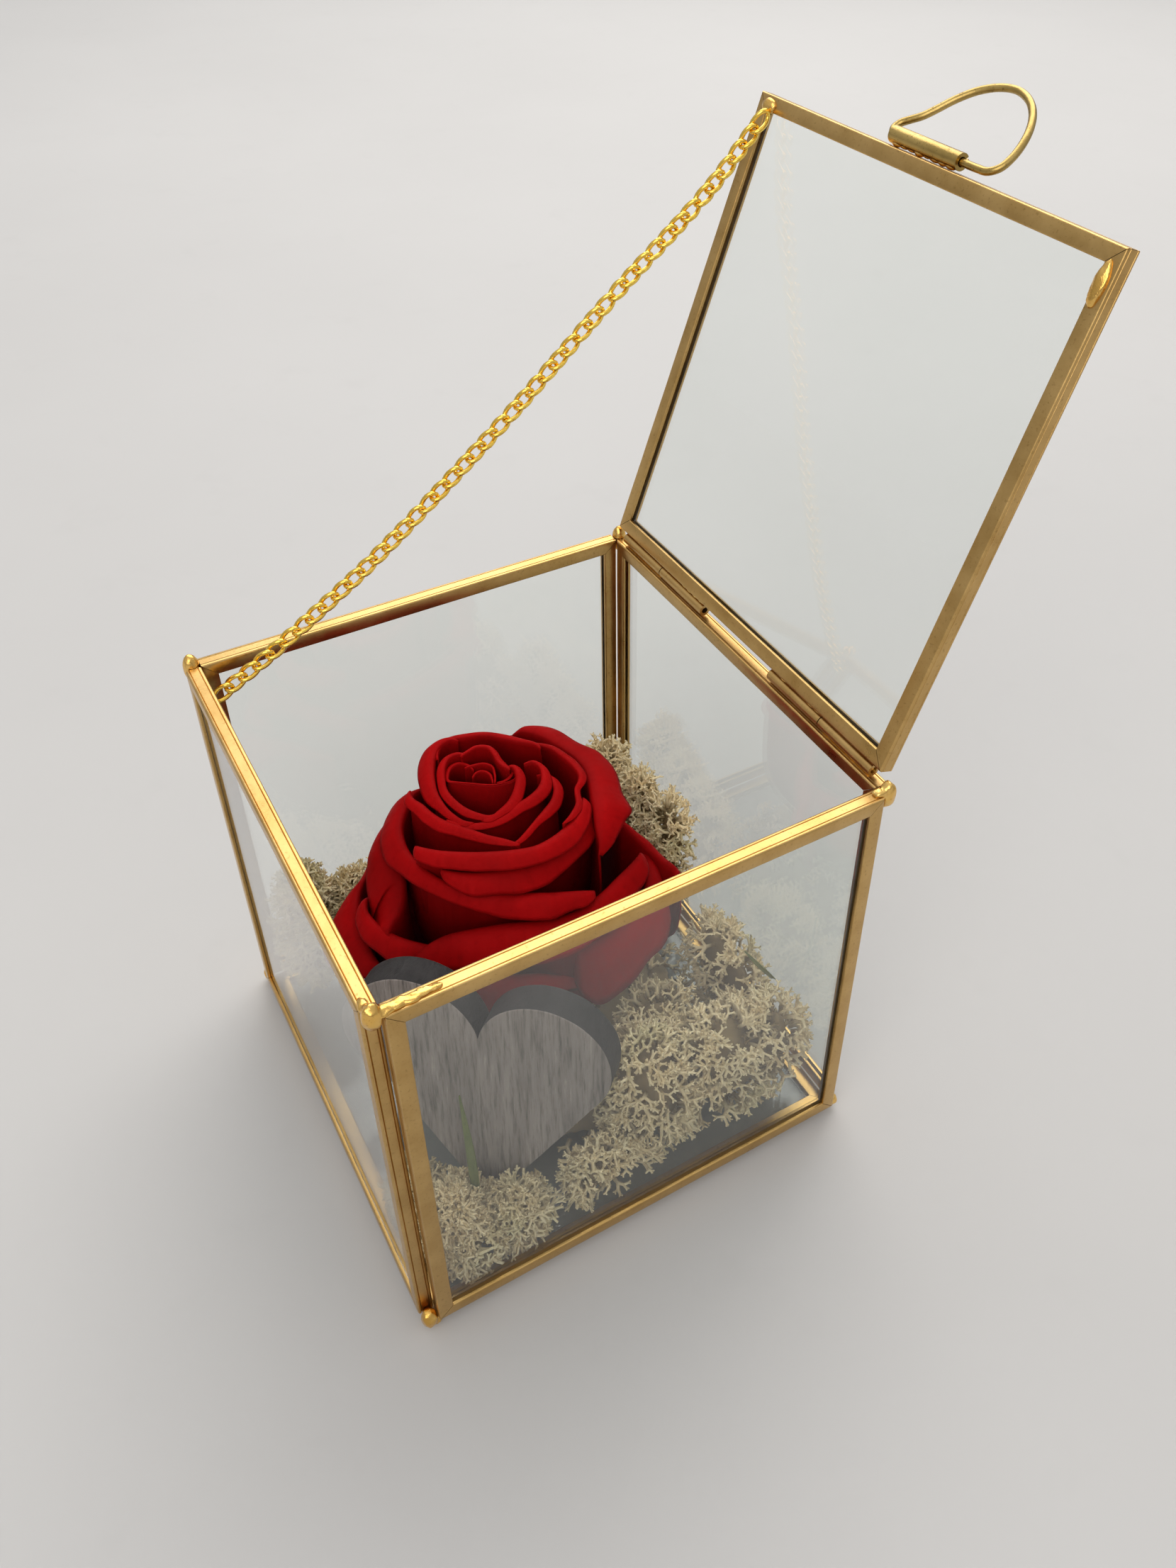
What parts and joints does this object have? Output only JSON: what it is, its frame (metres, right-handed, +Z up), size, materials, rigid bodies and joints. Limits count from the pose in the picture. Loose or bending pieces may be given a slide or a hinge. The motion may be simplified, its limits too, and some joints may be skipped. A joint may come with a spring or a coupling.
{
  "type": "preserved rose in glass box",
  "caption": "Preserved red rose on pale moss with a small wooden heart, in a brass-edged glass cube whose hinged glass lid is held open by a fine chain.",
  "frame": {"origin": "middle of the whole footprint, the open lid included, on the surface it stands on", "axes": "+Z up, +X along the lid's hinge, +Y from the front of the cube towards the hinge"},
  "size_m": [0.08, 0.1166, 0.1592],
  "materials": {
    "brass": "worn antique brass, rubbed bright on the edges",
    "solder": "lumpy brass-coloured solder",
    "gilt": "polished gilt curb chain",
    "glass": "clear thin glass",
    "petal": "soft velvety preserved petal",
    "calyx": "matt dried green",
    "wood": "dark grey-brown stained wood with brushed grain",
    "moss": "pale dry branching moss",
    "leaf": "dried olive grass blade"
  },
  "bodies": {
    "box": {"frame_front": "brass", "pane_front": "glass", "frame_right": "brass", "pane_right": "glass", "frame_back": "brass", "pane_back": "glass", "frame_left": "brass", "pane_left": "glass", "frame_bottom": "brass", "pane_bottom": "glass", "solder_a_top": "solder", "solder_b_top": "solder", "solder_c_top": "solder", "solder_d_top": "solder", "solder_a_bottom": "solder", "solder_b_bottom": "solder", "solder_c_bottom": "solder", "solder_d_bottom": "solder", "hinge_knuckle_box_left": "brass", "hinge_knuckle_box_right": "brass", "hinge_pin_left": "brass", "hinge_pin_right": "brass", "chain": "gilt", "wooden_heart": "wood", "rose_receptacle": "calyx", "rose_core": "petal", "petal_01": "petal", "petal_02": "petal", "petal_03": "petal", "petal_04": "petal", "petal_05": "petal", "petal_06": "petal", "petal_07": "petal", "petal_08": "petal", "petal_09": "petal", "petal_10": "petal", "petal_11": "petal", "petal_12": "petal", "petal_13": "petal", "petal_14": "petal", "petal_15": "petal", "petal_16": "petal", "petal_17": "petal", "petal_18": "petal", "petal_19": "petal", "petal_20": "petal", "moss_front": "moss", "moss_right": "moss", "moss_back": "moss", "moss_left": "moss", "grass_blade_front": "leaf", "grass_blade_right": "leaf"},
    "lid": {"frame_lid": "brass", "pane_lid": "glass", "hinge_knuckle_lid_left": "brass", "hinge_knuckle_lid_right": "brass", "handle_barrel": "brass", "solder_lid_chain": "solder", "solder_lid_corner": "solder"},
    "ring": {"handle_ring": "brass"}
  },
  "joints": [
    {"name": "lid_hinge", "type": "hinge", "parent": "box", "child": "lid", "pos_m": [0, 0.02041, 0.07875], "axis": [1, 0, 0], "range_deg": [0, 109.8], "deforming": ["chain"]},
    {"name": "handle_ring_pivot", "type": "hinge", "parent": "lid", "child": "ring", "pos_m": [0, 0.04687, 0.15181], "axis": [1, 0, 0], "range_deg": [-80, 66]}
  ]
}
